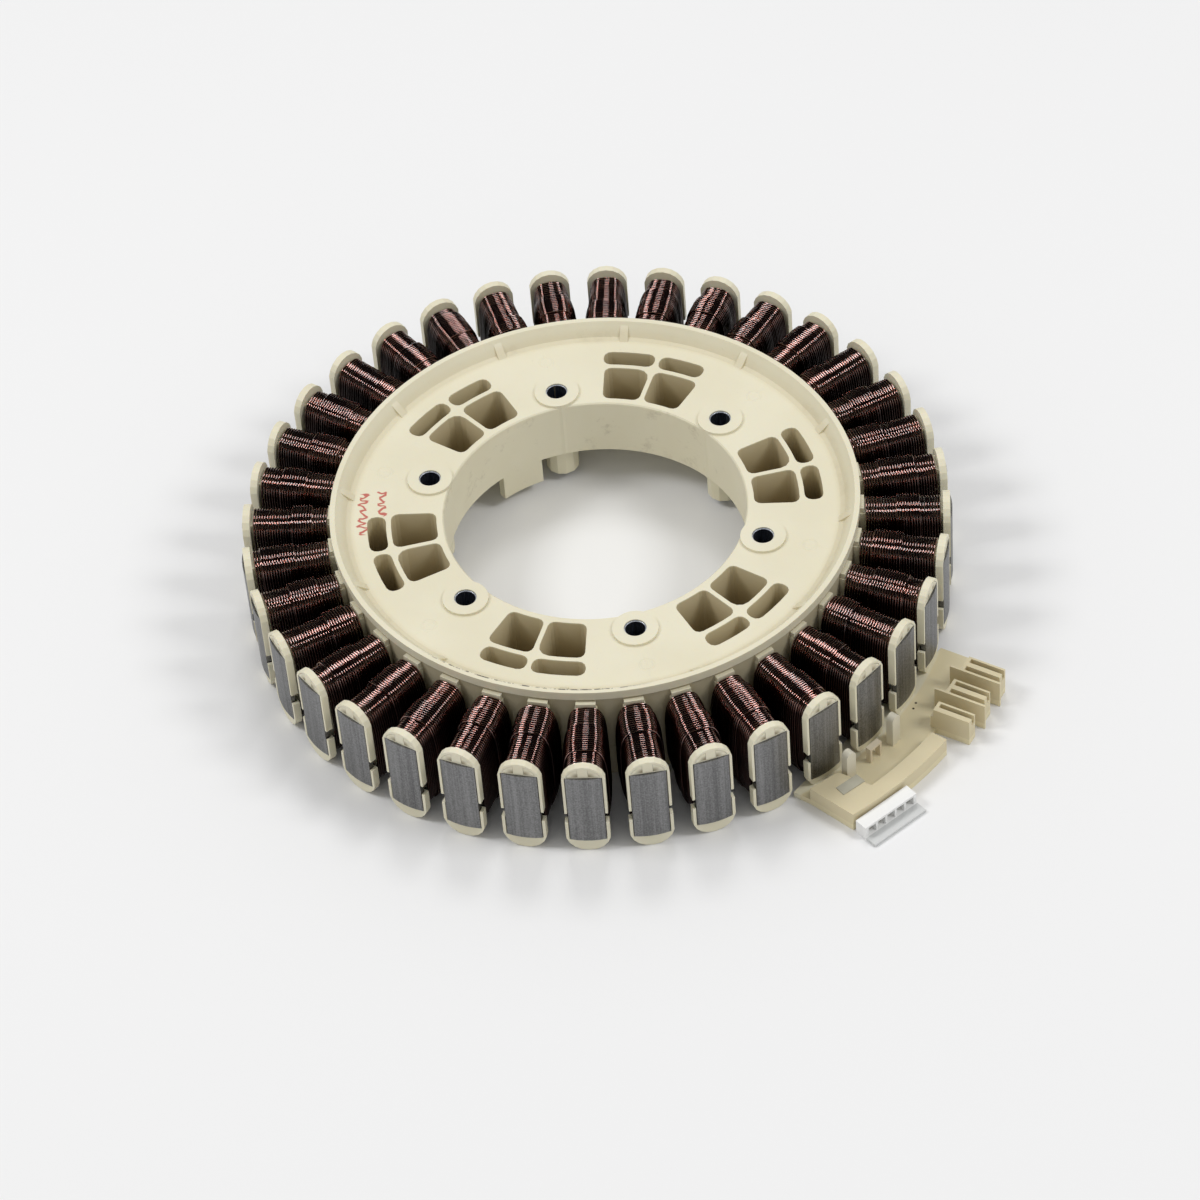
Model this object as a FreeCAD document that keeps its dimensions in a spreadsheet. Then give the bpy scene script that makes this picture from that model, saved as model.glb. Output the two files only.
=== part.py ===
import FreeCAD, Part
import Sketcher
import math
import os

os.makedirs("parts", exist_ok=True)

# Wound stator of an outer-rotor motor: a ring of 36 steel teeth with a coil on each,
# held by an upper and a lower plastic insulator. The upper one is also the hub that six
# screws go through. The lower one carries the tray with the connectors.
# The axis is Z and tooth 5 points along +X. The origin is the centre of the bolt circle on
# the boss faces. Heights are counted up from the plane that the stator rests on.

SIZES = {
    # What is counted
    "pole_count": 36,
    "bolt_count": 6,
    "rib_count": 12,
    "contact_count": 5,
    # Chords that stand for a small round, and the sides of round bosses
    "arch_chords": 8,
    "round_chords": 3,
    "boss_sides": 24,
    "boss_foot_sides": 12,
    "bush_sides": 12,
    # Steel core
    "core_bottom": 5.9,
    "core_height": 32.6,
    "yoke_inner_radius": 86.0,
    "yoke_outer_radius": 97.0,
    "tooth_width": 6.0,
    "shoe_width": 13.0,
    "shoe_edge_reach": 131.94,
    "shoe_bulge": 0.8,
    "shoe_thickness": 1.7,
    # Insulation round the teeth
    "insulation": 1.0,
    "core_clearance": 0.05,
    "split_height": 17.35,
    "split_gap": 0.2,
    "flange_back": 129.2,
    "flange_depth": 2.7,
    "flange_width": 15.5,
    "window_gap": 0.3,
    "upper_arch_radius": 7.9,
    "upper_flange_top": 44.0,
    "upper_frame_end": 19.6,
    "lower_frame_end": 15.1,
    "lower_flange_width": 15.9,
    "lower_arch_radius": 8.1,
    "block_width": 7.2,
    "block_depth": 2.0,
    "block_top": 42.05,
    # Coils
    "coil_clearance": 0.1,
    "coil_width": 15.9,
    "coil_crest": 41.85,
    "coil_flat_width": 7.8,
    "coil_shoulder_width": 13.2,
    "coil_shoulder_drop": 3.2,
    "coil_full_drop": 9.0,
    # Hub
    "bore_radius": 56.62,
    "hub_bottom": 16.9,
    "hub_face": 41.34,
    "bore_chamfer": 0.5,
    "wall_radius": 98.0,
    "rim_radius": 98.76,
    "rim_top": 46.8,
    "rim_land": 1.96,
    "rim_lip": 3.6,
    "slope_foot_radius": 94.3,
    "slope_foot_rise": 2.06,
    "cove_reach": 3.0,
    "cove_middle_reach": 1.8,
    "cove_middle_rise": 0.6,
    "rib_width": 3.1,
    "rib_foot_radius": 90.9,
    "rib_drop": 0.5,
    "rib_turn": 15.0,
    # Lightening pockets, in groups of four
    "pocket_turn": 5.0,
    "pocket_floor": 2.6,
    "pocket_inner_radius": 59.3,
    "pocket_outer_radius": 76.3,
    "pocket_web": 1.7,
    "pocket_span": 14.2,
    "pocket_round": 2.7,
    "crossing_round": 4.4,
    "slot_inner_radius": 78.15,
    "slot_outer_radius": 85.2,
    "slot_web": 1.8,
    "slot_span": 14.6,
    "slot_short_span": 13.3,
    "slot_round": 2.9,
    # Mounting bosses and their steel bushes
    "bolt_circle_radius": 64.96,
    "bolt_turn": 35.0,
    "boss_radius": 8.5,
    "boss_top": 42.4,
    "boss_foot_radius": 6.4,
    "boss_foot": 4.2,
    "screw_hole_radius": 4.15,
    "bush_radius": 5.0,
    "bush_bore_radius": 4.05,
    "bush_top": 41.9,
    "bush_slit": 0.6,
    # Locating tab under the hub
    "tab_turn": 164.8,
    "tab_span": 17.3,
    "tab_inner_radius": 56.9,
    "tab_thickness": 3.2,
    "tab_foot": 5.4,
    # Lower insulator ring
    "ring_thickness": 2.9,
    "ring_wall": 1.5,
    # Connector tray
    "floor_thickness": 2.5,
    "tray_reach": 156.4,
    "tray_wall_top": 8.4,
    "tray_wall_thickness": 6.4,
    "tray_start": -2.8,
    "tray_start_back": -4.7,
    "tray_start_foot": -5.9,
    "tray_block_radius": 137.0,
    "tray_wall_end": 15.3,
    "end_block_span": 5.3,
    # Sockets for the three phase tabs
    "phase_turn": 22.3,
    "phase_pitch": 12.45,
    "phase_first_side": -14.1,
    "socket_top": 12.0,
    "socket_foot_reach": 144.8,
    "socket_inner_reach": 145.9,
    "socket_outer_reach": 160.5,
    "socket_width": 7.6,
    "socket_end_wall": 1.2,
    "socket_far_wall": 0.8,
    "ridge_offset": 2.9,
    "ridge_width": 2.0,
    "fin_inner_reach": 141.6,
    "fin_outer_reach": 162.0,
    "fin_thickness": 0.9,
    "base_back": 130.5,
    "base_reach": 147.0,
    "base_side": 14.0,
    "base_far_side": 25.6,
    "blade_end_gap": 1.8,
    "blade_thickness": 0.8,
    "blade_height": 1.5,
    # Sensor posts
    "post_radius": 138.0,
    "post_turn": 2.5,
    "post_step": 9.9,
    "post_width": 4.3,
    "post_depth": 3.0,
    "post_top": 16.8,
    "sensor_width": 2.9,
    "sensor_depth": 1.5,
    "sensor_height": 3.0,
    "sensor_wall": 0.9,
    "sensor_clearance": 0.1,
    # White connector on the front of the tray
    "header_turn": 1.8,
    "header_width": 24.6,
    "header_depth": 5.2,
    "header_height": 6.0,
    "header_wall": 1.0,
    "header_seat": 0.6,
    "header_cavity_depth": 2.6,
    "header_divider": 0.9,
    "latch_reach": 5.0,
    "latch_thickness": 1.2,
    "contact_size": 0.64,
    "contact_length": 2.0,
}


class Size:
    """A number together with the formula that the document keeps for it."""

    def __init__(self, value, text):
        self.value = float(value)
        self.text = text

    def __add__(self, other):
        other = as_size(other)
        return Size(self.value + other.value, f"({self.text} + {other.text})")

    def __sub__(self, other):
        other = as_size(other)
        return Size(self.value - other.value, f"({self.text} - {other.text})")

    def __mul__(self, other):
        other = as_size(other)
        return Size(self.value * other.value, f"({self.text} * {other.text})")

    def __truediv__(self, other):
        other = as_size(other)
        return Size(self.value / other.value, f"({self.text} / {other.text})")

    def __neg__(self):
        return Size(-self.value, f"(-1 * {self.text})")

    def __radd__(self, other):
        return as_size(other) + self

    def __rsub__(self, other):
        return as_size(other) - self

    def __rmul__(self, other):
        return as_size(other) * self

    def __rtruediv__(self, other):
        return as_size(other) / self


def as_size(number):
    """Let plain counts such as 2 or 360 stand in formulas beside named sizes."""
    return number if isinstance(number, Size) else Size(number, repr(number))


def cosine(angle):
    return Size(math.cos(math.radians(angle.value)), f"cos({angle.text})")


def sine(angle):
    return Size(math.sin(math.radians(angle.value)), f"sin({angle.text})")


def arcsine(ratio):
    """The angle in degrees, as a plain number."""
    degrees = math.degrees(math.asin(ratio.value))
    return Size(degrees, f"(asin({ratio.text}) / 1deg)")


def polar(radius, angle):
    """The corner at this radius and angle about the axis."""
    return radius * cosine(angle), radius * sine(angle)


doc = FreeCAD.newDocument("wound_stator")
sheet = doc.addObject("Spreadsheet::Sheet", "sizes")
for row, (alias, number) in enumerate(SIZES.items(), start=1):
    sheet.set(f"A{row}", alias.replace("_", " "))
    sheet.set(f"B{row}", str(number))
    sheet.setAlias(f"B{row}", alias)
doc.recompute()


def size(alias):
    return Size(SIZES[alias], f"sizes.{alias}")


ZERO = as_size(0)
FULL_TURN = as_size(360)


# Bodies, sketches and features

def new_body(label, turn=None):
    """A body named after its piece, lowered to the boss faces and turned about the axis."""
    body = doc.addObject("PartDesign::Body", label)
    body.Label = label
    body.setExpression("Placement.Base.z", (-size("boss_top")).text)
    if turn is not None:
        body.Placement = FreeCAD.Placement(FreeCAD.Vector(), FreeCAD.Rotation(FreeCAD.Vector(0, 0, 1), 1))
        body.setExpression("Placement.Rotation.Angle", turn.text)
    return body


def origin_part(body, role):
    """One of the body's own origin planes or axes."""
    return next(item for item in body.Origin.OriginFeatures if item.Role == role)


def new_sketch(body, name, plane, level=None, turn=None):
    """A sketch on an origin plane, lifted along the plane's normal and turned about Z."""
    sketch = body.newObject("Sketcher::SketchObject", name)
    sketch.AttachmentSupport = (origin_part(body, plane), [""])
    sketch.MapMode = "FlatFace"
    if turn is not None:
        upright = FreeCAD.Vector(0, 1, 0) if plane == "XZ_Plane" else FreeCAD.Vector(0, 0, 1)
        sketch.AttachmentOffset = FreeCAD.Placement(FreeCAD.Vector(), FreeCAD.Rotation(upright, 1))
        sketch.setExpression("AttachmentOffset.Rotation.Angle", turn.text)
    if level is not None:
        sketch.setExpression("AttachmentOffset.Base.z", level.text)
    return sketch


def fix(sketch, kind, parts, value):
    """Add one dimension and bind it to its formula."""
    index = sketch.addConstraint(Sketcher.Constraint(kind, *parts, value.value))
    sketch.setExpression(f"Constraints[{index}]", value.text)


def place_point(sketch, geometry, point, across, up):
    """Hold one point of the geometry at its distances from the sketch's origin."""
    for kind, axis, distance in (("DistanceX", -2, across), ("DistanceY", -1, up)):
        if distance.value == 0 and distance is ZERO:
            sketch.addConstraint(Sketcher.Constraint("PointOnObject", geometry, point, axis))
        else:
            fix(sketch, kind, (-1, 1, geometry, point), distance)


def arc_between(start, end, radius, side):
    """A circular arc shorter than a half turn, its centre left (1) or right (-1) of the way."""
    chord = end - start
    middle = (start + end) * 0.5
    left = FreeCAD.Vector(-chord.y, chord.x, 0).normalize()
    rise = math.sqrt(max(radius ** 2 - (chord.Length / 2) ** 2, 0))
    centre = middle + left * (side * rise)
    first, last = (start, end) if side > 0 else (end, start)
    from_angle = math.atan2(first.y - centre.y, first.x - centre.x)
    to_angle = math.atan2(last.y - centre.y, last.x - centre.x)
    circle = Part.Circle(centre, FreeCAD.Vector(0, 0, 1), radius)
    return Part.ArcOfCircle(circle, from_angle, to_angle)


def draw_outline(sketch, corners):
    """Close a loop through the corners. A corner (x, y, radius, side) starts an arc."""
    points = [FreeCAD.Vector(corner[0].value, corner[1].value, 0) for corner in corners]
    ends = []
    for index, corner in enumerate(corners):
        start, end = points[index], points[(index + 1) % len(points)]
        if len(corner) == 2:
            sketch.addGeometry(Part.LineSegment(start, end))
            ends.append((1, 2))
        else:
            sketch.addGeometry(arc_between(start, end, corner[2].value, corner[3]))
            ends.append((1, 2) if corner[3] > 0 else (2, 1))
    first = sketch.GeometryCount - len(corners)
    for index in range(len(corners)):
        following = (index + 1) % len(corners)
        joint = (first + index, ends[index][1], first + following, ends[following][0])
        sketch.addConstraint(Sketcher.Constraint("Coincident", *joint))
    for index, corner in enumerate(corners):
        place_point(sketch, first + index, ends[index][0], corner[0], corner[1])
        if len(corner) == 4:
            fix(sketch, "Radius", (first + index,), corner[2])


def draw_rectangle(sketch, left, bottom, right, top):
    draw_outline(sketch, [(left, bottom), (right, bottom), (right, top), (left, top)])


def draw_polygon(sketch, across, up, radius, sides):
    """A regular polygon round a centre, with corners at this radius."""
    corners = [polar(radius, FULL_TURN * number / sides) for number in range(sides)]
    draw_outline(sketch, [(across + right, up + rise) for right, rise in corners])


def arch_corners(half_width, radius, chords):
    """Corners of an arch of chords, from right to left, with the highest at height 0."""
    sweep = arcsine(half_width / radius)
    corners = []
    for step in range(chords + 1):
        across, rise = polar(radius, 90 - sweep + sweep * 2 * step / chords)
        corners.append((across, rise - radius))
    return corners


def draw_circle(sketch, across, up, radius):
    centre = FreeCAD.Vector(across.value, up.value, 0)
    index = sketch.addGeometry(Part.Circle(centre, FreeCAD.Vector(0, 0, 1), radius.value))
    place_point(sketch, index, 3, across, up)
    fix(sketch, "Radius", (index,), radius)


def extrude(body, kind, name, sketch, length, reverse=False, both_ways=False):
    """A Pad or a Pocket of a sketch."""
    feature = body.newObject(f"PartDesign::{kind}", name)
    feature.Profile = sketch
    feature.setExpression("Length", length.text)
    feature.Reversed = reverse
    if both_ways:
        feature.SideType = "Symmetric"
    sketch.Visibility = False
    return feature


def pad(body, name, sketch, length, **options):
    return extrude(body, "Pad", name, sketch, length, **options)


def pocket(body, name, sketch, length, **options):
    return extrude(body, "Pocket", name, sketch, length, **options)


def revolve(body, name, sketch, angle=FULL_TURN):
    feature = body.newObject("PartDesign::Revolution", name)
    feature.Profile = sketch
    feature.ReferenceAxis = (sketch, ["V_Axis"])
    feature.setExpression("Angle", angle.text)
    return feature


def repeat_around(body, name, originals, count):
    """Copy features evenly round the motor's axis."""
    pattern = body.newObject("PartDesign::PolarPattern", name)
    pattern.Originals = originals
    pattern.Axis = (origin_part(body, "Z_Axis"), [""])
    pattern.Angle = 360
    pattern.setExpression("Occurrences", count.text)
    body.Tip = pattern
    return pattern


# Sizes that several pieces share

core_top = size("core_bottom") + size("core_height")
core_middle = size("core_bottom") + size("core_height") / 2
pole_step = 360 / size("pole_count")
half_tooth = size("tooth_width") / 2
half_slot = half_tooth + size("core_clearance")
half_shoe = size("shoe_width") / 2
shoe_back = size("shoe_edge_reach") - size("shoe_thickness")
sleeve_half = half_slot + size("insulation")
sleeve_top = core_top + size("core_clearance") + size("insulation")
sleeve_bottom = size("core_bottom") - size("core_clearance") - size("insulation")
upper_split = size("split_height") + size("split_gap") / 2
lower_split = size("split_height") - size("split_gap") / 2
block_front = size("wall_radius") + size("block_depth")
flange_face = size("flange_back") + size("flange_depth")
yoke_slot_inner = size("yoke_inner_radius") - size("core_clearance")
yoke_slot_outer = size("yoke_outer_radius") + size("core_clearance")


# Steel core: stamped sheets in one stack, a yoke ring with teeth that widen to a shoe

def make_steel_core():
    body = new_body("steel_core")
    ring = new_sketch(body, "yoke_outline", "XY_Plane", size("core_bottom"))
    draw_circle(ring, ZERO, ZERO, size("yoke_outer_radius"))
    draw_circle(ring, ZERO, ZERO, size("yoke_inner_radius"))
    pad(body, "yoke", ring, size("core_height"))

    outline = new_sketch(body, "tooth_outline", "XY_Plane", size("core_bottom"))
    root_radius = (size("yoke_inner_radius") + size("yoke_outer_radius")) / 2
    face_middle = size("shoe_edge_reach") + size("shoe_bulge")
    face_radius = (half_shoe * half_shoe / size("shoe_bulge") + size("shoe_bulge")) / 2
    neck = shoe_back - size("shoe_thickness") / 2
    draw_outline(outline, [
        (root_radius, -half_tooth),
        (neck, -half_tooth),
        (shoe_back, -half_shoe),
        (size("shoe_edge_reach"), -half_shoe, face_radius, 1),
        (size("shoe_edge_reach"), half_shoe),
        (shoe_back, half_shoe),
        (neck, half_tooth),
        (root_radius, half_tooth),
    ])
    tooth = pad(body, "tooth", outline, size("core_height"))
    repeat_around(body, "teeth", [tooth], size("pole_count"))
    return body


# What both insulators do at each tooth: a sleeve that the coil is wound on, and the cuts
# that leave room for the steel tooth and its shoe

def cut_for_tooth(body, low, high):
    """Cut the tooth's own way through the sleeve and the window of the shoe."""
    slot = new_sketch(body, "tooth_slot_outline", "YZ_Plane", flange_face)
    draw_rectangle(slot, -half_slot, low, half_slot, high)
    slot_depth = flange_face - yoke_slot_outer + size("core_clearance")
    tooth_slot = pocket(body, "tooth_slot", slot, slot_depth)

    window = new_sketch(body, "shoe_window_outline", "YZ_Plane", flange_face)
    half_window = half_shoe + size("window_gap")
    draw_rectangle(window, -half_window, low, half_window, high)
    window_depth = flange_face - shoe_back + size("shoe_thickness") / 2 + size("core_clearance")
    shoe_window = pocket(body, "shoe_window", window, window_depth)
    return [tooth_slot, shoe_window]


def add_sleeve(body, low, high):
    outline = new_sketch(body, "sleeve_outline", "YZ_Plane", yoke_slot_outer)
    draw_rectangle(outline, -sleeve_half, low, sleeve_half, high)
    return pad(body, "sleeve", outline, flange_face - yoke_slot_outer - size("flange_depth") / 2)


# Upper insulator: hub, rim, bosses, and the upper half of each tooth's insulation

def pocket_outline(inner, outer, web, span, crossing_round, corner_round, side):
    """An opening between two radii, from a web along X to a radial end, on one side of X."""
    low, high, crossing = inner + corner_round, outer - corner_round, outer - crossing_round
    web_low = arcsine((web + corner_round) / low)
    web_high = arcsine((web + crossing_round) / crossing)
    end_low = span - arcsine(corner_round / low)
    end_high = span - arcsine(corner_round / high)
    bends = [
        (crossing, web_high, crossing_round, as_size(-90), web_high, (outer, side)),
        (high, end_high, corner_round, end_high, span + 90, ()),
        (low, end_low, corner_round, span + 90, end_low + 180, (inner, -side)),
        (low, web_low, corner_round, web_low + 180, as_size(270), ()),
    ]
    outline = []
    for reach, turn, bend_radius, start, stop, following in bends:
        middle_across, middle_up = polar(reach, turn)
        for step in range(SIZES["round_chords"] + 1):
            across, up = polar(bend_radius, start + (stop - start) * step / SIZES["round_chords"])
            outline.append((middle_across + across, (middle_up + up) * side))
        outline[-1] += following
    return outline


def make_upper_insulator():
    body = new_body("upper_insulator")
    profile = new_sketch(body, "hub_profile", "XZ_Plane")
    rim_land_inner = size("rim_radius") - size("rim_land")
    cove_start = size("slope_foot_radius") - size("cove_reach")
    cove_end_height = size("hub_face") + size("slope_foot_rise")
    draw_outline(profile, [
        (size("bore_radius"), size("hub_bottom")),
        (yoke_slot_inner, size("hub_bottom")),
        (yoke_slot_inner, core_top + size("core_clearance")),
        (yoke_slot_outer, core_top + size("core_clearance")),
        (yoke_slot_outer, upper_split),
        (size("wall_radius"), upper_split),
        (size("wall_radius"), size("rim_top") - size("rim_lip")),
        (size("rim_radius"), size("rim_top") - size("rim_lip")),
        (size("rim_radius"), size("rim_top")),
        (rim_land_inner, size("rim_top")),
        (size("slope_foot_radius"), cove_end_height),
        (cove_start + size("cove_middle_reach"), size("hub_face") + size("cove_middle_rise")),
        (cove_start, size("hub_face")),
        (size("bore_radius") + size("bore_chamfer"), size("hub_face")),
        (size("bore_radius"), size("hub_face") - size("bore_chamfer")),
    ])
    revolve(body, "hub", profile)

    half_flange = size("flange_width") / 2
    sleeve = add_sleeve(body, upper_split, sleeve_top)
    arch = new_sketch(body, "flange_outline", "YZ_Plane", size("flange_back"))
    crown = arch_corners(half_flange, size("upper_arch_radius"), SIZES["arch_chords"])
    draw_outline(arch, [
        (-half_flange, size("upper_frame_end")),
        (half_flange, size("upper_frame_end")),
        *[(across, size("upper_flange_top") + rise) for across, rise in crown],
    ])
    flange = pad(body, "flange", arch, size("flange_depth"))
    block_outline = new_sketch(body, "block_outline", "YZ_Plane", yoke_slot_outer)
    half_block = size("block_width") / 2
    draw_rectangle(block_outline, -half_block, core_top, half_block, size("block_top"))
    block = pad(body, "block", block_outline, block_front - yoke_slot_outer)
    cuts = cut_for_tooth(body, upper_split, core_top + size("core_clearance"))
    repeat_around(body, "tooth_covers", [sleeve, flange, block, *cuts], size("pole_count"))

    rib_outline = new_sketch(body, "rib_outline", "XZ_Plane", turn=size("rib_turn"))
    draw_outline(rib_outline, [
        (size("rib_foot_radius"), size("hub_face")),
        (rim_land_inner, size("hub_face")),
        (rim_land_inner, size("rim_top") - size("rib_drop")),
    ])
    rib = pad(body, "rib", rib_outline, size("rib_width"), both_ways=True)
    repeat_around(body, "ribs", [rib], size("rib_count"))

    opening = new_sketch(body, "pocket_outlines", "XY_Plane", size("hub_face"), size("pocket_turn"))
    for side, crossing_round, slot_span in (
            (1, size("crossing_round"), size("slot_span")),
            (-1, size("pocket_round"), size("slot_short_span"))):
        draw_outline(opening, pocket_outline(
            size("pocket_inner_radius"), size("pocket_outer_radius"), size("pocket_web") / 2,
            size("pocket_span"), crossing_round, size("pocket_round"), side))
        draw_outline(opening, pocket_outline(
            size("slot_inner_radius"), size("slot_outer_radius"), size("slot_web") / 2,
            slot_span, size("slot_round"), size("slot_round"), side))
    depth = size("hub_face") - size("hub_bottom") - size("pocket_floor")
    pockets = pocket(body, "pockets", opening, depth)
    repeat_around(body, "pocket_groups", [pockets], size("bolt_count"))

    boss_place = (size("bolt_circle_radius"), ZERO)
    disc = new_sketch(body, "boss_disc_outline", "XY_Plane", size("boss_top"), size("bolt_turn"))
    draw_polygon(disc, *boss_place, size("boss_radius"), SIZES["boss_sides"])
    boss_disc = pad(body, "boss_disc", disc, size("boss_top") - size("hub_bottom"), reverse=True)
    foot = new_sketch(body, "boss_foot_outline", "XY_Plane", size("hub_bottom"), size("bolt_turn"))
    draw_polygon(foot, *boss_place, size("boss_foot_radius"), SIZES["boss_foot_sides"])
    foot_length = size("hub_bottom") - size("boss_foot")
    boss_foot = pad(body, "boss_foot", foot, foot_length, reverse=True)
    seat = new_sketch(body, "bush_seat_outline", "XY_Plane", size("boss_foot"), size("bolt_turn"))
    seat_radius = size("bush_radius") + size("core_clearance")
    draw_polygon(seat, *boss_place, seat_radius, SIZES["bush_sides"])
    seat_length = size("bush_top") + size("core_clearance") - size("boss_foot")
    bush_seat = pocket(body, "bush_seat", seat, seat_length, reverse=True)
    hole = new_sketch(body, "screw_hole_outline", "XY_Plane", size("boss_top"), size("bolt_turn"))
    draw_circle(hole, *boss_place, size("screw_hole_radius"))
    screw_hole = pocket(body, "screw_hole", hole, size("boss_top") - size("hub_bottom"))
    repeat_around(body, "bosses", [boss_disc, boss_foot, bush_seat, screw_hole], size("bolt_count"))

    tab_profile = new_sketch(body, "tab_profile", "XZ_Plane", turn=size("tab_turn"))
    tab_outer = size("tab_inner_radius") + size("tab_thickness")
    draw_rectangle(tab_profile, size("tab_inner_radius"), size("tab_foot"), tab_outer,
                   size("hub_bottom") + size("pocket_floor") / 2)
    revolve(body, "locating_tab", tab_profile, size("tab_span"))
    return body


# Lower insulator: a channel under the yoke, the lower half of each tooth's insulation, and
# the connector tray that stands out on the +X side

def make_lower_insulator():
    body = new_body("lower_insulator")
    profile = new_sketch(body, "ring_profile", "XZ_Plane")
    ring_floor = size("core_bottom") - size("ring_thickness")
    yoke_floor = size("core_bottom") - size("core_clearance")
    ring_inner = yoke_slot_inner - size("ring_wall")
    ring_wall_top = size("hub_bottom") - size("split_gap")
    draw_outline(profile, [
        (ring_inner, ring_floor),
        (size("wall_radius"), ring_floor),
        (size("wall_radius"), lower_split),
        (yoke_slot_outer, lower_split),
        (yoke_slot_outer, yoke_floor),
        (yoke_slot_inner, yoke_floor),
        (yoke_slot_inner, ring_wall_top),
        (ring_inner, ring_wall_top),
    ])
    revolve(body, "ring", profile)

    half_flange = size("lower_flange_width") / 2
    sleeve = add_sleeve(body, sleeve_bottom, lower_split)
    arch = new_sketch(body, "flange_outline", "YZ_Plane", size("flange_back"))
    crown = arch_corners(half_flange, size("lower_arch_radius"), SIZES["arch_chords"])
    draw_outline(arch, [
        (half_flange, size("lower_frame_end")),
        (-half_flange, size("lower_frame_end")),
        *[(-across, -rise) for across, rise in crown],
    ])
    flange = pad(body, "flange", arch, size("flange_depth"))
    cuts = cut_for_tooth(body, size("core_bottom") - size("core_clearance"), lower_split)
    repeat_around(body, "tooth_covers", [sleeve, flange, *cuts], size("pole_count"))

    add_tray(body)
    add_phase_sockets(body)
    return body


def add_tray(body):
    """The tray's floor, its thick front wall and the raised block at its end."""
    reach = size("tray_reach")
    wall_inner = reach - size("tray_wall_thickness")
    floor_outline = new_sketch(body, "tray_floor_outline", "XY_Plane")
    draw_outline(floor_outline, [
        polar(size("base_back"), size("tray_start_foot")),
        polar(size("tray_block_radius"), size("tray_start_back")),
        (*polar(reach, size("tray_start")), reach, 1),
        polar(reach, size("tray_wall_end")),
        polar(wall_inner, size("tray_wall_end")),
        phase_corner(size("base_reach"), -size("base_side")),
        phase_corner(size("base_reach"), size("base_far_side")),
        phase_corner(size("base_back"), size("base_far_side")),
    ])
    pad(body, "tray_floor", floor_outline, size("floor_thickness"))

    wall_outline = new_sketch(body, "tray_wall_outline", "XY_Plane")
    block_end = size("tray_start") + size("end_block_span")
    draw_outline(wall_outline, [
        polar(size("tray_block_radius"), size("tray_start_back")),
        (*polar(reach, size("tray_start")), reach, 1),
        polar(reach, size("tray_wall_end")),
        (*polar(wall_inner, size("tray_wall_end")), wall_inner, -1),
        polar(wall_inner, block_end),
        polar(size("tray_block_radius"), size("tray_start_back") + size("end_block_span")),
    ])
    pad(body, "tray_wall", wall_outline, size("tray_wall_top"))


def phase_corner(along, aside):
    """A corner given along and beside the direction that the phase sockets point."""
    turn = size("phase_turn")
    return along * cosine(turn) - aside * sine(turn), along * sine(turn) + aside * cosine(turn)


def phase_box(along, length, aside, width):
    """The four corners of an upright box beside the phase direction."""
    return [
        phase_corner(along, aside),
        phase_corner(along + length, aside),
        phase_corner(along + length, aside + width),
        phase_corner(along, aside + width),
    ]


def add_phase_sockets(body):
    """Three fingers with a slot between a ridge and a thin wall, and a fin beside two of them."""
    block_outline = new_sketch(body, "socket_block_outlines", "XY_Plane")
    wall_outline = new_sketch(body, "socket_wall_outlines", "XY_Plane")
    fin_outline = new_sketch(body, "fin_outlines", "XY_Plane")
    inner, outer = size("socket_inner_reach"), size("socket_outer_reach")
    slot_end = inner + size("socket_end_wall")
    for number in range(3):
        side = size("phase_first_side") + number * size("phase_pitch")
        near = side + size("ridge_offset")
        far = side + size("socket_width")
        foot = size("socket_foot_reach")
        draw_outline(block_outline, phase_box(foot, outer - foot, near, far - near))
        draw_outline(wall_outline, [phase_corner(*corner) for corner in (
            (inner, near), (outer, near), (outer, near + size("ridge_width")),
            (slot_end, near + size("ridge_width")), (slot_end, far - size("socket_far_wall")),
            (outer, far - size("socket_far_wall")), (outer, far), (inner, far))])
        if number > 0:
            back = side + size("fin_thickness")
            into_ridge = near + size("ridge_width") / 2
            draw_outline(fin_outline, [phase_corner(*corner) for corner in (
                (size("fin_inner_reach"), side), (size("fin_outer_reach"), side),
                (size("fin_outer_reach"), back), (slot_end, back), (slot_end, into_ridge),
                (inner, into_ridge), (inner, back), (size("fin_inner_reach"), back))])
    pad(body, "socket_blocks", block_outline, size("tray_wall_top"))
    pad(body, "socket_walls", wall_outline, size("socket_top"))
    pad(body, "fins", fin_outline, size("socket_top"))


# Coils: enamelled wire wound round each sleeve, one turn beside the other

def make_coil(number):
    body = new_body(f"coil_{number:02d}", (number - 5) * pole_step)
    inner_end = block_front + size("coil_clearance")
    outer_end = size("flange_back") - size("coil_clearance")
    section = new_sketch(body, f"winding_outline_{number:02d}", "YZ_Plane", inner_end)
    quarter = [
        (size("coil_flat_width") / 2, size("coil_crest")),
        (size("coil_shoulder_width") / 2, size("coil_crest") - size("coil_shoulder_drop")),
        (size("coil_width") / 2, size("coil_crest") - size("coil_full_drop")),
    ]
    lower = [(across, core_middle * 2 - up) for across, up in reversed(quarter)]
    right = quarter + lower
    left = [(-across, up) for across, up in reversed(right)]
    draw_outline(section, right + left)
    gap = size("coil_clearance")
    draw_rectangle(section, -sleeve_half - gap, sleeve_bottom - gap, sleeve_half + gap, sleeve_top + gap)
    pad(body, f"winding_{number:02d}", section, outer_end - inner_end)
    return body


# Bushes: split steel sleeves pressed into the bosses, which take the screws' pull

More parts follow.
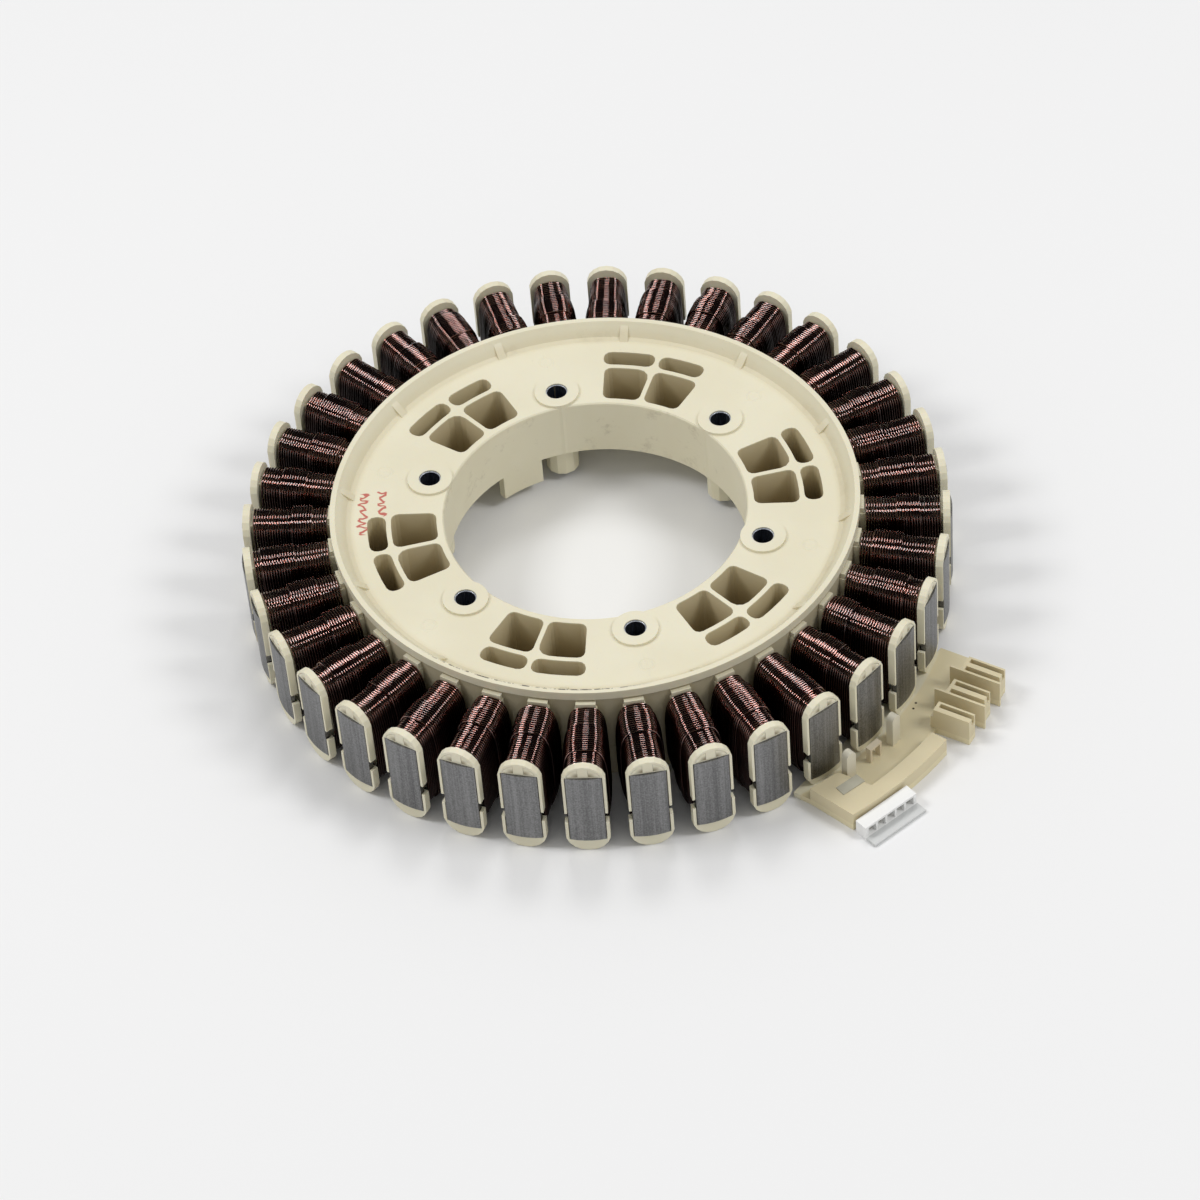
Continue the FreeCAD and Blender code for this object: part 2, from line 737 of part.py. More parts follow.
def make_bush(number):
    turn = size("bolt_turn") + number * 360 / size("bolt_count")
    body = new_body(f"bolt_bush_{number + 1}", turn)
    ring = new_sketch(body, f"bush_ring_{number + 1}", "XY_Plane", size("boss_foot"))
    draw_polygon(ring, size("bolt_circle_radius"), ZERO, size("bush_radius"), SIZES["bush_sides"])
    draw_circle(ring, size("bolt_circle_radius"), ZERO, size("bush_bore_radius"))
    length = size("bush_top") - size("boss_foot")
    pad(body, f"sleeve_{number + 1}", ring, length)
    slit = new_sketch(body, f"bush_slit_{number + 1}", "XY_Plane", size("bush_top"))
    wide = size("bush_slit") / 2
    draw_rectangle(slit, size("bolt_circle_radius"), -wide,
                   size("bolt_circle_radius") + size("bush_radius") * 2, wide)
    pocket(body, f"slit_{number + 1}", slit, length)
    return body


# Sensor posts: translucent holders that stand on the tray's floor, each with a magnetic
# sensor pushed up inside from below

def make_sensor_post(number):
    body = new_body(f"sensor_post_{number + 1}", size("post_turn") + number * size("post_step"))
    outline = new_sketch(body, f"post_outline_{number + 1}", "YZ_Plane",
                         size("post_radius") - size("post_depth") / 2)
    half = size("post_width") / 2
    draw_outline(outline, [
        (-half, size("floor_thickness")),
        (half, size("floor_thickness")),
        (half, size("post_top") - half, half, 1),
        (ZERO, size("post_top"), half, 1),
        (-half, size("post_top") - half),
    ])
    pad(body, f"post_{number + 1}", outline, size("post_depth"))
    well = new_sketch(body, f"sensor_well_{number + 1}", "XY_Plane", size("floor_thickness"))
    gap = size("sensor_clearance")
    half_width = size("sensor_width") / 2 + gap
    half_depth = size("sensor_depth") / 2 + gap
    draw_rectangle(well, size("post_radius") - half_depth, -half_width,
                   size("post_radius") + half_depth, half_width)
    well_depth = size("post_top") - size("floor_thickness") - size("sensor_wall") * 2
    pocket(body, f"well_{number + 1}", well, well_depth, reverse=True)
    return body


def make_hall_sensor(number):
    body = new_body(f"hall_sensor_{number + 1}", size("post_turn") + number * size("post_step"))
    top = size("post_top") - size("sensor_wall") * 2 - size("sensor_clearance")
    outline = new_sketch(body, f"sensor_outline_{number + 1}", "XY_Plane", top)
    half_width = size("sensor_width") / 2
    half_depth = size("sensor_depth") / 2
    draw_rectangle(outline, size("post_radius") - half_depth, -half_width,
                   size("post_radius") + half_depth, half_width)
    pad(body, f"sensor_{number + 1}", outline, size("sensor_height"), reverse=True)
    return body


# White connector: a moulded header against the tray's front wall, open to the outside,
# with a row of square contacts and a latch plate below

header_back = size("tray_reach") + size("header_seat")
header_front = header_back + size("header_depth")
half_header = size("header_width") / 2
contact_pitch = (size("header_width") - size("header_wall") * 2) / size("contact_count")


def make_connector_header():
    body = new_body("connector_header", size("header_turn"))
    outline = new_sketch(body, "header_outline", "XY_Plane")
    draw_rectangle(outline, header_back, -half_header, header_front, half_header)
    pad(body, "header_block", outline, size("header_height"))
    plate = new_sketch(body, "latch_outline", "XY_Plane")
    draw_rectangle(plate, header_front - size("header_wall"), -half_header,
                   header_front + size("latch_reach"), half_header)
    pad(body, "latch_plate", plate, size("latch_thickness"))
    cavities = new_sketch(body, "cavity_outlines", "YZ_Plane", header_front)
    for number in range(SIZES["contact_count"]):
        left = number * contact_pitch + size("header_divider") / 2 + size("header_wall") - half_header
        draw_rectangle(cavities, left, size("latch_thickness"), left + contact_pitch - size("header_divider"),
                       size("header_height") - size("header_wall"))
    pocket(body, "cavities", cavities, size("header_cavity_depth"))
    return body


def make_header_contacts():
    body = new_body("header_contacts", size("header_turn"))
    cavity_floor = header_front - size("header_cavity_depth")
    outline = new_sketch(body, "contact_outlines", "YZ_Plane", cavity_floor)
    half = size("contact_size") / 2
    middle_height = (size("latch_thickness") + size("header_height") - size("header_wall")) / 2
    for number in range(SIZES["contact_count"]):
        middle = (number + 0.5) * contact_pitch + size("header_wall") - half_header
        draw_rectangle(outline, middle - half, middle_height - half, middle + half, middle_height + half)
    pad(body, "contacts", outline, size("contact_length"))
    return body


# Phase tabs: plated blades that stand in the slots of the three sockets

def make_phase_tab(number):
    body = new_body(f"phase_tab_{number + 1}")
    outline = new_sketch(body, f"blade_outline_{number + 1}", "XY_Plane", size("tray_wall_top"))
    slot_near = size("ridge_offset") + size("ridge_width")
    slot_far = size("socket_width") - size("socket_far_wall")
    middle = size("phase_first_side") + number * size("phase_pitch") + (slot_near + slot_far) / 2
    start = size("socket_inner_reach") + size("socket_end_wall") + size("blade_end_gap")
    draw_outline(outline, phase_box(
        start, size("socket_outer_reach") - size("blade_end_gap") - start,
        middle - size("blade_thickness") / 2, size("blade_thickness")))
    pad(body, f"blade_{number + 1}", outline, size("blade_height"))
    return body


pieces = [make_steel_core(), make_upper_insulator(), make_lower_insulator()]
pieces += [make_coil(number) for number in range(1, SIZES["pole_count"] + 1)]
pieces += [make_bush(number) for number in range(SIZES["bolt_count"])]
pieces += [make_sensor_post(number) for number in range(2)]
pieces += [make_hall_sensor(number) for number in range(2)]
pieces += [make_connector_header(), make_header_contacts()]
pieces += [make_phase_tab(number) for number in range(3)]
doc.recompute()

for item in doc.Objects:
    if "Invalid" in item.State or "Error" in item.State:
        raise RuntimeError(f"{item.Name} did not build: {item.State}")
for piece in pieces:
    if piece.Shape.isNull() or not piece.Shape.isValid():
        raise RuntimeError(f"{piece.Label} has no valid shape")
for piece in pieces:
    piece.Shape.exportStep(f"parts/{piece.Label}.step")
    print(piece.Label, len(piece.Shape.Solids), round(piece.Shape.Volume, 1))
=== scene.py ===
import math
import bpy
from mathutils import Matrix, Vector


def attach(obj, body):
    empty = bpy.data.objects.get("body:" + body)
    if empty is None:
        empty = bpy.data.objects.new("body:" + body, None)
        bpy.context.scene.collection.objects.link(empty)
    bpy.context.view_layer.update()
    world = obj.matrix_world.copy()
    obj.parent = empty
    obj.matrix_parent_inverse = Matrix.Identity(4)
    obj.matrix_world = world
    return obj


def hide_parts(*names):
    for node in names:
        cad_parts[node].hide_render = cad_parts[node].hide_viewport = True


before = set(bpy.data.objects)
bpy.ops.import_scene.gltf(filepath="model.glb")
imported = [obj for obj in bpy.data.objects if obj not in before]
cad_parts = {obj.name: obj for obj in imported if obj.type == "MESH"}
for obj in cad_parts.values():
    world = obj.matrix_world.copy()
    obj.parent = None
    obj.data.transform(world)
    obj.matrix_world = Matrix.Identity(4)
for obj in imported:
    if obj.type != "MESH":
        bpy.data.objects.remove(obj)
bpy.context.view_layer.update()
MM = 0.001


# Bare sheet steel. The core is a stack of stamped sheets: their cut edges show on the tooth
# faces as fine level lines and grain, crossed by upright streaks and a few dark scores from
# the stamping tool.

class Value:
    """A number in a node tree. Plus, minus, times and divide add the matching node."""

    def __init__(self, tree, socket):
        self.tree = tree
        self.socket = socket

    def math(self, operation, other=None, swap=False):
        """Any function of a Math node. With swap, the other number comes first."""
        node = self.tree.nodes.new("ShaderNodeMath")
        node.operation = operation
        for index, operand in enumerate([other, self] if swap else [self, other]):
            if operand is not None:
                plug(self.tree, operand, node.inputs[index])
        return Value(self.tree, node.outputs[0])

    def __add__(self, other):
        return self.math("ADD", other)

    __radd__ = __add__

    def __sub__(self, other):
        return self.math("SUBTRACT", other)

    def __rsub__(self, other):
        return self.math("SUBTRACT", other, swap=True)

    def __mul__(self, other):
        return self.math("MULTIPLY", other)

    __rmul__ = __mul__

    def __truediv__(self, other):
        return self.math("DIVIDE", other)

    def __rtruediv__(self, other):
        return self.math("DIVIDE", other, swap=True)

    def smooth(self, low, high):
        """0 below low, 1 above high, with a soft change between."""
        return Graph(self.tree).node("ShaderNodeMapRange", interpolation_type="SMOOTHSTEP",
                                     inputs={"Value": self, "From Min": low, "From Max": high})


def plug(tree, source, target):
    """Link a value, or write a plain number, into a socket."""
    if isinstance(source, Value):
        tree.links.new(source.socket, target)
    else:
        target.default_value = source


class Graph:
    """A node tree under construction."""

    def __init__(self, tree):
        self.tree = tree

    def node(self, kind, output=0, inputs=None, **settings):
        """Add any node and return one of its outputs."""
        node = self.tree.nodes.new(kind)
        for key, setting in settings.items():
            setattr(node, key, setting)
        for key, source in (inputs or {}).items():
            plug(self.tree, source, node.inputs[key])
        return Value(self.tree, node.outputs[output])


class Finish(Graph):
    """A material with its Principled shader. The settings go to its sockets as they are."""

    def __init__(self, name, **settings):
        self.material = bpy.data.materials.new(name)
        self.material.use_nodes = True
        super().__init__(self.material.node_tree)
        self.shader = self.tree.nodes["Principled BSDF"]
        for socket, setting in settings.items():
            self.shader.inputs[socket.replace("_", " ")].default_value = setting

    def place(self):
        """The point on the surface in the object's own coordinates, in metres."""
        return self.node("ShaderNodeTexCoord", "Object")

    def axes(self):
        """The three coordinates of that point."""
        split = self.node("ShaderNodeSeparateXYZ", inputs={"Vector": self.place()})
        return [Value(self.tree, output) for output in split.socket.node.outputs]

    def unrolled(self, turn_scale, height_scale):
        """The point on the ring laid flat, with one scale round it and one up it."""
        x, y, z = self.axes()
        turn = y.math("ARCTAN2", x)
        return self.node("ShaderNodeCombineXYZ",
                         inputs={"X": turn * turn_scale, "Y": z * height_scale, "Z": 0.0})

    def noise(self, scale, detail=3.0, roughness=0.5, vector=None):
        """A soft random pattern between 0 and 1."""
        return self.node("ShaderNodeTexNoise", inputs={
            "Vector": vector or self.place(), "Scale": scale, "Detail": detail, "Roughness": roughness})

    def blend(self, factor, first, second):
        """Mix two colours, each a triple or a value."""
        colours = [colour if isinstance(colour, Value) else (*colour, 1.0) for colour in (first, second)]
        return self.node("ShaderNodeMix", "Result", data_type="RGBA",
                         inputs={"Factor": factor, "A": colours[0], "B": colours[1]})

    def mottle(self, scale, first, second):
        """Let the base colour drift between two tints."""
        self.set("Base Color", self.blend(self.noise(scale), first, second))

    def bump(self, height, distance, strength=1.0):
        """Tilt the surface as a relief of this height would."""
        inputs = {"Height": height, "Distance": distance, "Strength": strength}
        self.set("Normal", self.node("ShaderNodeBump", inputs=inputs))

    def set(self, socket, value):
        """Drive one socket of the shader."""
        plug(self.tree, value, self.shader.inputs[socket])


def dress(node, finish):
    """Give a CAD node its finish in place of the plain one."""
    for material_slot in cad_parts[node].material_slots:
        material_slot.material = finish.material


SHEET_PITCH = 0.5 * MM
STEEL_DARK = (0.15, 0.15, 0.152)
STEEL_LIGHT = (0.32, 0.32, 0.322)
SCORE_DARK = (0.06, 0.06, 0.062)
RELIEF_DEPTH = 0.06 * MM

steel = Finish("sheet_steel", Metallic=1.0)
height = steel.axes()[2]
flat = steel.unrolled(130.0, 18.0)
streaks = steel.noise(1.1, detail=5.0, roughness=0.7, vector=flat)
broad = steel.noise(0.35, detail=2.0, vector=flat)
sheets = (height / SHEET_PITCH).math("PINGPONG", 0.5)
grain = steel.noise(1500.0, detail=3.0, roughness=0.7)
tone = (streaks * 0.35 + broad * 0.25 + grain * 0.4).smooth(0.38, 0.62)
scores = steel.noise(1.3, detail=2.0, vector=steel.unrolled(260.0, 2.0)).smooth(0.62, 0.68)
sheen = steel.blend(tone, STEEL_DARK, STEEL_LIGHT)
steel.set("Base Color", steel.blend(scores * 0.55, sheen, SCORE_DARK))
steel.set("Roughness", 0.34 + streaks * 0.26)
steel.bump(sheets * 0.9 + grain * 0.9 + streaks * 0.7, RELIEF_DEPTH, 0.8)
dress("steel_core", steel)


# Insulators. Both are mouldings in a cream glass-filled plastic, satin, with a faint flow
# pattern. The end flanges have two shallow recesses each, the hub has ejector marks, dust and
# iron grit have settled along the rim, and a marker pen has left a loose red scribble.
# Shade is painted into the corners of the recesses, the cove, the pockets, the wall under the rim
# and two small holes of the tray.

def polar(x, y):
    """The distance from the Z axis and the angle round it."""
    return (x * x + y * y).math("SQRT"), y.math("ARCTAN2", x)


def band(value, low, high, soft):
    """1 between two limits, 0 outside, with soft edges."""
    return value.smooth(low - soft, low + soft) * (1.0 - value.smooth(high - soft, high + soft))


def beside(reach, turn, step, first=0.0):
    """The distance beside the nearest of a ring of radial lines, with their step in degrees."""
    step = math.radians(step)
    share = ((turn - math.radians(first)) / step + 0.5).math("FRACT") - 0.5
    return reach * share * step


cream = Finish("cream_plastic", Subsurface_Weight=0.10, Subsurface_Scale=0.003,
               Subsurface_Radius=(1.0, 0.7, 0.35))
x, y, z = cream.axes()
reach, turn = polar(x, y)
cloud = cream.noise(22.0, detail=4.0)
speck = cream.noise(900.0, detail=2.0, roughness=0.7).smooth(0.68, 0.76)

# The recesses of the flanges lie beside a web and under an arch. Painted shade darkens their corners
# beside the web.
TOOTH_STEP = 10.0
FLANGE_FRONT = (131.5 * MM, 131.7 * MM)
RECESS_FOOT = (-3.5 * MM, -3.1 * MM)
ARCH_DROP = 6.3 * MM
ARCH_EDGE = (6.6 * MM, 6.9 * MM)
WEB_EDGE = (1.75 * MM, 2.05 * MM)
WEB_SHADE = (2.2 * MM, 5.0 * MM)
FOOT_SHADE = (3.4 * MM, 5.8 * MM)

tooth_side = beside(reach, turn, TOOTH_STEP).math("ABSOLUTE")
on_flange = reach.smooth(*FLANGE_FRONT) * z.smooth(*RECESS_FOOT)
above = z + ARCH_DROP
from_arch = (tooth_side * tooth_side + above * above).math("SQRT")
recess = tooth_side.smooth(*WEB_EDGE) * (1.0 - from_arch.smooth(*ARCH_EDGE)) * on_flange
recess_shade = recess * (1.0 - tooth_side.smooth(*WEB_SHADE)) * (1.0 - above.smooth(*FOOT_SHADE))

# Ejector marks and weld lines stand on the flat of the hub, outside each bolt.
BOLT_STEP = 60.0
FIRST_BOLT = 35.0
MARK_CIRCLE = 82.9 * MM
MARK_RING = (2.2 * MM, 2.9 * MM)
HUB_FLAT = (-1.4 * MM, -0.7 * MM)
WELD_EDGE = (0.1 * MM, 0.4 * MM)
WELD_REACH = (78.0 * MM, 90.0 * MM)

bolt_side = beside(reach, turn, BOLT_STEP, FIRST_BOLT)
from_mark = ((reach - MARK_CIRCLE).math("POWER", 2.0) + bolt_side * bolt_side).math("SQRT")
on_flat = band(z, *HUB_FLAT, 0.1 * MM)
dimple = band(from_mark, *MARK_RING, 0.25 * MM) * on_flat
weld = (1.0 - bolt_side.math("ABSOLUTE").smooth(*WELD_EDGE)) * band(reach, *WELD_REACH, 1.0 * MM)

# Dirt: grit on the rim's edge at the front left, dust in the cove inside it, scuffs in the bore.
RIM_EDGE = (96.45 * MM, 97.25 * MM)
RIM_TOP = (4.0 * MM, 4.2 * MM)
GRIT_ARC = (math.radians(-74.0), math.radians(-30.0))
COVE_REACH = (90.5 * MM, 94.5 * MM)
COVE_FOOT = (-1.5 * MM, -0.9 * MM)
BORE_EDGE = (56.9 * MM, 57.2 * MM)

on_rim = band(reach, *RIM_EDGE, 0.15 * MM) * z.smooth(*RIM_TOP)
grit_noise = cream.noise(420.0, detail=4.0, roughness=0.7).smooth(0.42, 0.56)
grit = grit_noise * on_rim * band(turn, *GRIT_ARC, 0.12)
in_cove = band(reach, *COVE_REACH, 1.2 * MM) * z.smooth(*COVE_FOOT)
dust = cream.noise(60.0, detail=5.0, roughness=0.7).smooth(0.5, 0.75) * in_cove
scuff_noise = cream.noise(70.0, detail=6.0, roughness=0.75).smooth(0.56, 0.7)
bore_scuff = (1.0 - reach.smooth(*BORE_EDGE)) * scuff_noise

# Painted shade: the plastic is painted warmer and darker down the walls of the pockets, darkest
# towards their floors, and on the wall under the rim. The tray is tinted yellower, darker on its
# floor than higher up.
POCKET_REACH = (59.0 * MM, 85.6 * MM)
POCKET_FLOOR = (-25.2 * MM, -24.8 * MM)
POCKET_MOUTH = (-1.8 * MM, -1.3 * MM)
POCKET_DEPTH = (-21.0 * MM, -1.6 * MM)
RIM_WALL = (97.6 * MM, 98.4 * MM)
RIM_FOOT = (0.4 * MM, 0.9 * MM)
TRAY_START = (132.6 * MM, 133.4 * MM)
TRAY_FLOOR = (-39.8 * MM, -39.4 * MM)
HOLE_EDGE = (0.35 * MM, 0.55 * MM)
HOLE_SHADE = (0.06, 0.045, 0.02)

in_pocket = band(reach, *POCKET_REACH, 0.2 * MM) * z.smooth(*POCKET_FLOOR)
pocket_wall_shade = in_pocket * (1.0 - z.smooth(*POCKET_MOUTH))
pocket_depth_shade = in_pocket * (1.0 - z.smooth(*POCKET_DEPTH))
under_rim_shade = band(reach, *RIM_WALL, 0.1 * MM) * (1.0 - z.smooth(*RIM_FOOT))
on_tray = reach.smooth(*TRAY_START)
tray_tint = cream.blend(1.0 - z.smooth(*TRAY_FLOOR), (0.65, 0.56, 0.35), (0.76, 0.67, 0.43))


def hole_shade(hole_x, hole_y):
    """Painted shade for a small round hole of the tray: 1 in the hole, 0 outside it."""
    from_hole = ((x - hole_x).math("POWER", 2.0) + (y - hole_y).math("POWER", 2.0)).math("SQRT")
    return 1.0 - from_hole.smooth(*HOLE_EDGE)


base = cream.blend(cloud.smooth(0.35, 0.65), (0.74, 0.69, 0.515), (0.775, 0.73, 0.56))
for share, tint in (
        (speck * 0.25, (0.45, 0.37, 0.24)),
        (dust * 0.25 + bore_scuff * 0.3, (0.33, 0.27, 0.17)),
        (recess_shade * 0.85, (0.24, 0.19, 0.10)),
        # Painted shade down the pockets and on the wall under the rim.
        (pocket_wall_shade * 0.55, (0.56, 0.45, 0.24)),
        (pocket_depth_shade * 0.6, (0.26, 0.19, 0.08)),
        (under_rim_shade * 0.6, (0.36, 0.29, 0.16)),
        (on_tray * 0.85, tray_tint),
        # Painted shade: two small holes of the tray are painted dark.
        (hole_shade(125.9 * MM, 48.1 * MM), HOLE_SHADE),
        (hole_shade(127.4 * MM, 45.6 * MM), HOLE_SHADE),
        # Painted shade: the cove inside the rim is darkened evenly.
        (in_cove * 0.35, (0.60, 0.51, 0.31)),
        (grit * 0.9, (0.05, 0.04, 0.03))):
    base = cream.blend(share, base, tint)

# The scribble: two wavy strokes along a slanted line, told by their distance from a tangled
# sine line. Each row holds the start, stop, shift, swing and thickness of a stroke in mm.
STROKES = ((0.0, 21.5, 0.8, 1.3, 0.46), (-1.0, 12.0, 8.0, 1.0, 0.40))
RED_INK = (0.50, 0.05, 0.035)
pen_x = x + 64.5 * MM
pen_y = y + 61.3 * MM
wobble = (cream.noise(230.0, detail=1.0) - 0.5) * 5.0 * MM
along = pen_x * 0.809 + pen_y * -0.588 + wobble
aside = pen_x * 0.588 + pen_y * 0.809 - wobble * 0.7
for sizes in STROKES:
    start, stop, shift, swing, thin = (size * MM for size in sizes)
    wave = along * 1745.0
    sway = wave.math("SINE") * swing + (along * 690.0).math("SINE") * swing * 0.4
    lean = wave.math("COSINE").math("ABSOLUTE")
    stroke = (aside - shift - sway).math("ABSOLUTE") / (lean * 2.6 + 1.0)
    ink = (1.0 - stroke.smooth(thin * 0.5, thin)) * band(along, start, stop, 0.2 * MM) * on_flat
    base = cream.blend(ink * 0.85, base, RED_INK)

cream.set("Base Color", base)
cream.set("Roughness", 0.42 + cloud * 0.16)
texture = cream.noise(2200.0, detail=2.0) * 0.03 + cream.noise(160.0) * 0.04
cream.bump(texture - recess * 0.7 + dimple * 0.12 + weld * on_flat * 0.05, 1.0 * MM, 0.8)
for name in ("upper_insulator", "lower_insulator"):
    dress(name, cream)


# Coils. Each is 28 turns of enamelled copper wire, wound helically on the insulated tooth,
# with a part layer over some of them. The enamel is copper coloured and coated along the crest
# of the coil; down its sides its colour is painted near black, a painted shade, and its coat
# and gloss fall away.

WIRE = 1.0 * MM
WINDING_INNER = 100.6 * MM
WINDING_OUTER = 128.6 * MM
HALF_WIDTH = 7.6 * MM
HALF_HEIGHT = 19.3 * MM
MIDDLE_HEIGHT = -20.2 * MM
SQUARENESS = 3.5
POINTS_A_TURN = 28
SIDES_OF_WIRE = 8
TREMBLE = 0.06 * MM
FULL_LIFT = -0.45 * MM
PART_LIFT = 0.40 * MM
CREST = (-7.0 * MM, -2.0 * MM)

enamel = Finish("wire_enamel", Metallic=1.0, Coat_Roughness=0.03, Coat_IOR=2.4)
crest = enamel.axes()[2].smooth(*CREST)
drift = enamel.noise(90.0, detail=2.0).smooth(0.3, 0.7)
# Painted shade: the sides of each coil are painted near black.
shaded_side_tint = enamel.blend(drift, (0.014, 0.005, 0.004), (0.030, 0.009, 0.006))
crest_tint = enamel.blend(drift, (0.13, 0.030, 0.016), (0.25, 0.070, 0.042))
enamel.set("Base Color", enamel.blend(crest, shaded_side_tint, crest_tint))
enamel.set("Coat Weight", crest * 0.95 + 0.05)
enamel.set("Roughness", 0.42 - crest * 0.32)


class Growth(Graph):
    """A Geometry Nodes tree with named inputs, whose numbers can be written as formulas."""

    def __init__(self, name):
        super().__init__(bpy.data.node_groups.new(name, "GeometryNodeTree"))
        self.tree.interface.new_socket("Geometry", in_out="OUTPUT", socket_type="NodeSocketGeometry")
        self.entry = self.tree.nodes.new("NodeGroupInput")

    def input(self, name, kind="NodeSocketFloat"):
        """Add a named input and return its value."""
        item = self.tree.interface.new_socket(name, in_out="INPUT", socket_type=kind)
        return Value(self.tree, self.entry.outputs[item.name])

    def end(self, geometry, material):
        """Realize what is instanced, give it its material and close the tree."""
        solid = self.node("GeometryNodeRealizeInstances", inputs={"Geometry": geometry})
        painted = self.node("GeometryNodeSetMaterial", inputs={"Geometry": solid, "Material": material})
        exit_node = self.tree.nodes.new("NodeGroupOutput")
        plug(self.tree, painted, exit_node.inputs[0])


def signed_power(value, exponent):
    """Raise the size of a number to a power and keep its sign."""
    return value.math("SIGN") * value.math("ABSOLUTE").math("POWER", exponent)


def winding_tree():
    """One helical layer of wire round a tooth that points along +X."""
    growth = Growth("winding_layer")
    first = growth.input("First reach")
    turns = growth.input("Turns")
    lift = growth.input("Layer lift")
    seed = growth.input("Seed", "NodeSocketInt")
    line = growth.node("GeometryNodeMeshLine", inputs={"Count": turns * POINTS_A_TURN})
    way = growth.node("GeometryNodeInputIndex") / POINTS_A_TURN
    angle = way * math.tau
    limits_and_seed = {2: -TREMBLE, 3: TREMBLE, "ID": way.math("FLOOR"), "Seed": seed}
    tremble = growth.node("FunctionNodeRandomValue", 1, limits_and_seed, data_type="FLOAT")
    reach = first + way * WIRE + tremble * 0.6
    waist = (way / (turns * 0.5) - 1.0).math("POWER", 4.0) * 0.35 * MM
    width = HALF_WIDTH + lift + tremble - waist
    height = HALF_HEIGHT + lift + tremble * 0.5
    exponent = 2.0 / SQUARENESS
    across = signed_power(angle.math("COSINE"), exponent) * width
    up = signed_power(angle.math("SINE"), exponent) * height + MIDDLE_HEIGHT
    position = growth.node("ShaderNodeCombineXYZ", inputs={"X": reach, "Y": across, "Z": up})
    path = growth.node("GeometryNodeSetPosition", inputs={"Geometry": line, "Position": position})
    curve = growth.node("GeometryNodeMeshToCurve", inputs={"Mesh": path})
    section = growth.node("GeometryNodeCurvePrimitiveCircle",
                          inputs={"Resolution": SIDES_OF_WIRE, "Radius": WIRE * 0.46})
    wire = growth.node("GeometryNodeCurveToMesh", inputs={"Curve": curve, "Profile Curve": section})
    growth.end(wire, enamel.material)
    return growth.tree


def add_object(name, data):
    """Put an object with this data in the scene."""
    new_object = bpy.data.objects.new(name, data)
    bpy.context.collection.objects.link(new_object)
    return new_object


def grow(tree, numbers):
    """Run a tree on an empty mesh and keep the result as a plain mesh."""
    holder = add_object("layer", bpy.data.meshes.new("layer"))
    modifier = holder.modifiers.new("growth", "NODES")
    modifier.node_group = tree
    for item in tree.interface.items_tree:
        if item.name in numbers:
            modifier[item.identifier] = numbers[item.name]
    evaluated = holder.evaluated_get(bpy.context.evaluated_depsgraph_get())
    mesh = bpy.data.meshes.new_from_object(evaluated)
    bpy.data.objects.remove(holder)
    return mesh


def shade_smooth(piece):
    """Hide the edges between the faces of a round piece."""
    for polygon in piece.data.polygons:
        polygon.use_smooth = True


layer_tree = winding_tree()


def wind_coil(number):
    """The full layer and the part layer of one coil, joined and turned to its tooth."""
    turns = (WINDING_OUTER - WINDING_INNER) / WIRE
    part_turns = 8 + (number * 5) % 7
    part_start = WINDING_INNER + WIRE * (1 + (number * 7) % 12)
    full_layer = grow(layer_tree, {"First reach": WINDING_INNER, "Turns": turns,
                                   "Layer lift": FULL_LIFT, "Seed": number})
    part_layer = grow(layer_tree, {"First reach": part_start + WIRE / 2, "Turns": float(part_turns),
                                   "Layer lift": PART_LIFT, "Seed": number + 50})
    coil = add_object(f"winding_{number:02d}", full_layer)
    part = add_object("part_layer", part_layer)
    with bpy.context.temp_override(active_object=coil, selected_editable_objects=[coil, part]):
        bpy.ops.object.join()
    coil.data.transform(Matrix.Rotation(math.radians(10 * (number - 5)), 4, "Z"))
    shade_smooth(coil)
    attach(coil, "root")
    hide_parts(f"coil_{number:02d}")


for number in range(1, 37):
    wind_coil(number)


# Bolt bushes. Rolled from zinc-plated strip and pressed into the bosses, with faint flutes
# down the bore. A thin lip is rolled over at the top of each, in a pale, half-diffuse zinc
# that stands for the glints at the mouth of the bore: a painted glint.

BOLT_CIRCLE = 64.96 * MM
FLUTES = 18.0
LIP_RADIUS = 3.92 * MM
LIP_SIZE = 0.2 * MM
LIP_HEIGHT = -0.72 * MM

zinc = Finish("zinc_plate", Metallic=1.0)
x, y, _ = zinc.axes()
reach, turn = polar(x, y)
bolt_side = beside(reach, turn, BOLT_STEP, FIRST_BOLT)
flutes = (bolt_side.math("ARCTAN2", reach - BOLT_CIRCLE) * FLUTES).math("SINE")
zinc.mottle(400.0, (0.34, 0.37, 0.43), (0.56, 0.60, 0.67))
zinc.set("Roughness", 0.26 + zinc.noise(700.0) * 0.16)
zinc.bump(flutes * 0.6 + zinc.noise(900.0) * 0.5, 0.3 * MM)
# Painted glint: the lip's zinc is pale and partly diffuse, so that it stays bright.
bright_zinc = Finish("bright_zinc", Metallic=0.45, Roughness=0.3)
bright_zinc.mottle(900.0, (0.42, 0.46, 0.54), (0.84, 0.88, 0.95))
for number in range(1, 7):
    dress(f"bolt_bush_{number}", zinc)
    bolt_turn = math.radians(FIRST_BOLT + BOLT_STEP * (number - 1))
    bpy.ops.mesh.primitive_torus_add(major_radius=LIP_RADIUS, minor_radius=LIP_SIZE,
                                     major_segments=48, minor_segments=8)
    lip = bpy.context.object
    lip.name = f"bush_lip_{number}"
    lip.data.transform(Matrix.Translation(
        (BOLT_CIRCLE * math.cos(bolt_turn), BOLT_CIRCLE * math.sin(bolt_turn), LIP_HEIGHT)))
    lip.data.materials.append(bright_zinc.material)
    shade_smooth(lip)
    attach(lip, "root")


# Sensor posts: two holders moulded in natural, milky plastic, which stand on the tray. Each
# holds a magnetic sensor, a chip in black epoxy.

